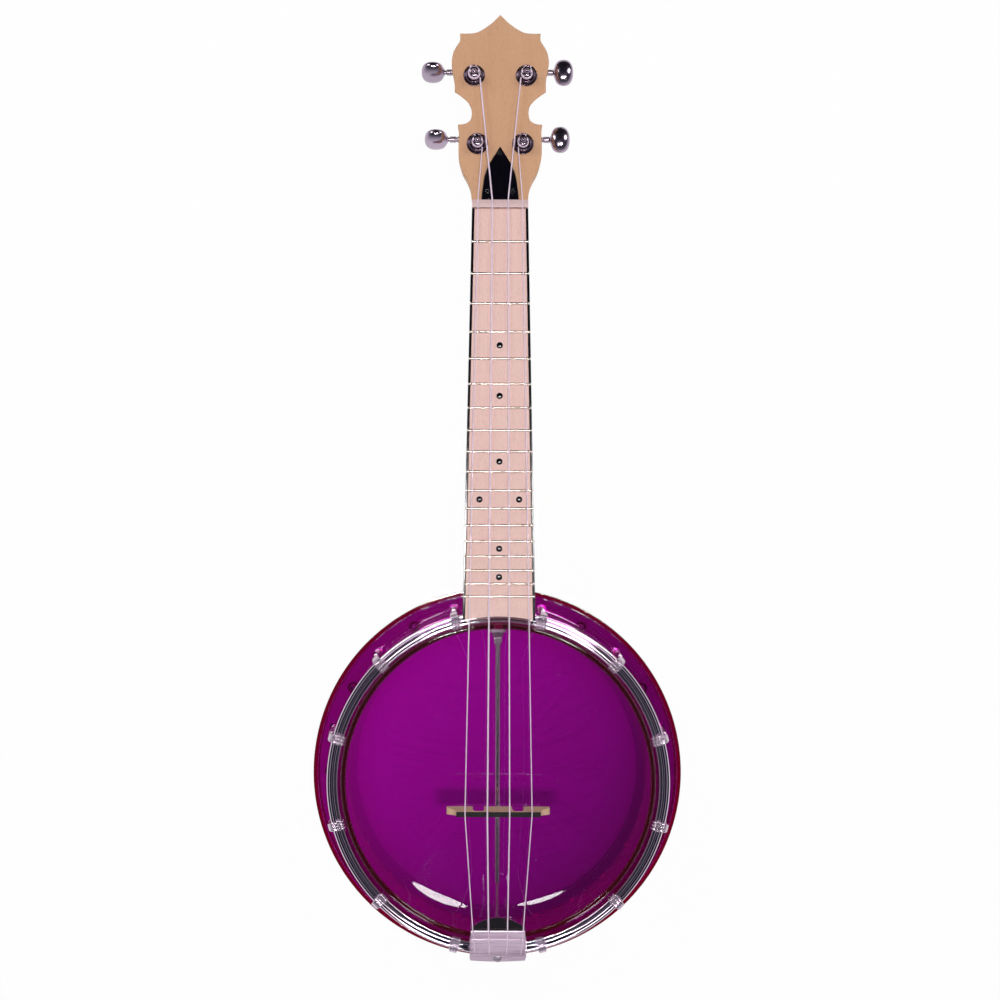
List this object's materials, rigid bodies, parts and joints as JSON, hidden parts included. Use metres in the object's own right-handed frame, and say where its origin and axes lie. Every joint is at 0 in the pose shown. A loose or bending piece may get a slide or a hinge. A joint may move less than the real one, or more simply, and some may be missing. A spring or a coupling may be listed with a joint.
{
  "type": "banjo ukulele",
  "caption": "Banjo ukulele with a clear drum head over a see-through pot and resonator, a maple neck and geared tuning machines whose posts wind the strings.",
  "frame": {"origin": "centre of the resonator's flat back, which is the face that the instrument rests on", "axes": "+Z out through the drum head to the strings, +Y along the neck to the peghead, +X to the right when the head faces you with the peghead up"},
  "size_m": [0.242, 0.6088, 0.0773],
  "materials": {
    "purple_plastic": "clear, polished",
    "clear_film": "clear, polished",
    "chrome": "polished plating",
    "steel": "plain",
    "brushed_plate": "satin plating",
    "neck_maple": "satin lacquer",
    "board_maple": "satin lacquer",
    "ebony": "smooth, dark",
    "black_plastic": "black, glossy",
    "bone_plastic": "smooth, off-white",
    "nylon": "clear string"
  },
  "bodies": {
    "instrument": {"resonator_bowl": "purple_plastic", "pot_rim": "purple_plastic", "drum_head": "clear_film", "flesh_hoop": "steel", "tension_hoop": "chrome", "neck_bolt": "steel", "neck_washer": "steel", "coordinator_rod": "chrome", "neck": "neck_maple", "truss_rod": "steel", "truss_rod_cover": "black_plastic", "fingerboard": "board_maple", "binding_left": "black_plastic", "binding_right": "black_plastic", "string_nut": "bone_plastic", "bridge": "board_maple", "bridge_saddle": "ebony", "tailpiece": "brushed_plate", "tailpiece_hanger": "brushed_plate", "tailpiece_bolt": "chrome", "tension_hook_01": "chrome", "tension_hook_02": "chrome", "tension_hook_03": "chrome", "tension_hook_04": "chrome", "tension_hook_05": "chrome", "tension_hook_06": "chrome", "tension_hook_07": "chrome", "tension_hook_08": "chrome", "tension_hook_09": "chrome", "tension_hook_10": "chrome", "tension_hook_11": "chrome", "tension_hook_12": "chrome", "string_1": "nylon", "tuner_housing_1": "chrome", "tuner_bushing_1": "chrome", "string_2": "nylon", "tuner_housing_2": "chrome", "tuner_bushing_2": "chrome", "string_3": "nylon", "tuner_housing_3": "chrome", "tuner_bushing_3": "chrome", "string_4": "nylon", "tuner_housing_4": "chrome", "tuner_bushing_4": "chrome"},
    "knob_1": {"tuner_worm_1": "steel", "tuner_button_1": "chrome"},
    "post_1": {"tuner_post_1": "chrome", "string_winding_1": "nylon"},
    "knob_2": {"tuner_worm_2": "steel", "tuner_button_2": "chrome"},
    "post_2": {"tuner_post_2": "chrome", "string_winding_2": "nylon"},
    "knob_3": {"tuner_worm_3": "steel", "tuner_button_3": "chrome"},
    "post_3": {"tuner_post_3": "chrome", "string_winding_3": "nylon"},
    "knob_4": {"tuner_worm_4": "steel", "tuner_button_4": "chrome"},
    "post_4": {"tuner_post_4": "chrome", "string_winding_4": "nylon"}
  },
  "joints": [
    {"name": "knob_turn_1", "type": "hinge", "parent": "instrument", "child": "knob_1", "pos_m": [-0.0166, 0.45509, 0.04452], "axis": [-1, 0, 0], "continuous": true},
    {"name": "post_turn_1", "type": "hinge", "parent": "instrument", "child": "post_1", "pos_m": [-0.0166, 0.44849, 0.06199], "axis": [0, 0.0523, 0.9986], "continuous": true},
    {"name": "knob_turn_2", "type": "hinge", "parent": "instrument", "child": "knob_2", "pos_m": [0.0166, 0.45509, 0.04452], "axis": [1, 0, 0], "continuous": true},
    {"name": "post_turn_2", "type": "hinge", "parent": "instrument", "child": "post_2", "pos_m": [0.0166, 0.44849, 0.06199], "axis": [0, 0.0523, 0.9986], "continuous": true},
    {"name": "knob_turn_3", "type": "hinge", "parent": "instrument", "child": "knob_3", "pos_m": [-0.0144, 0.41125, 0.04682], "axis": [-1, 0, 0], "continuous": true},
    {"name": "post_turn_3", "type": "hinge", "parent": "instrument", "child": "post_3", "pos_m": [-0.0144, 0.40465, 0.06428], "axis": [0, 0.0523, 0.9986], "continuous": true},
    {"name": "knob_turn_4", "type": "hinge", "parent": "instrument", "child": "knob_4", "pos_m": [0.0144, 0.41125, 0.04682], "axis": [1, 0, 0], "continuous": true},
    {"name": "post_turn_4", "type": "hinge", "parent": "instrument", "child": "post_4", "pos_m": [0.0144, 0.40465, 0.06428], "axis": [0, 0.0523, 0.9986], "continuous": true}
  ],
  "couplings": [
    {"joint": "post_turn_1", "follows": "knob_turn_1", "ratio": 0.071429},
    {"joint": "post_turn_2", "follows": "knob_turn_2", "ratio": 0.071429},
    {"joint": "post_turn_3", "follows": "knob_turn_3", "ratio": 0.071429},
    {"joint": "post_turn_4", "follows": "knob_turn_4", "ratio": 0.071429}
  ]
}
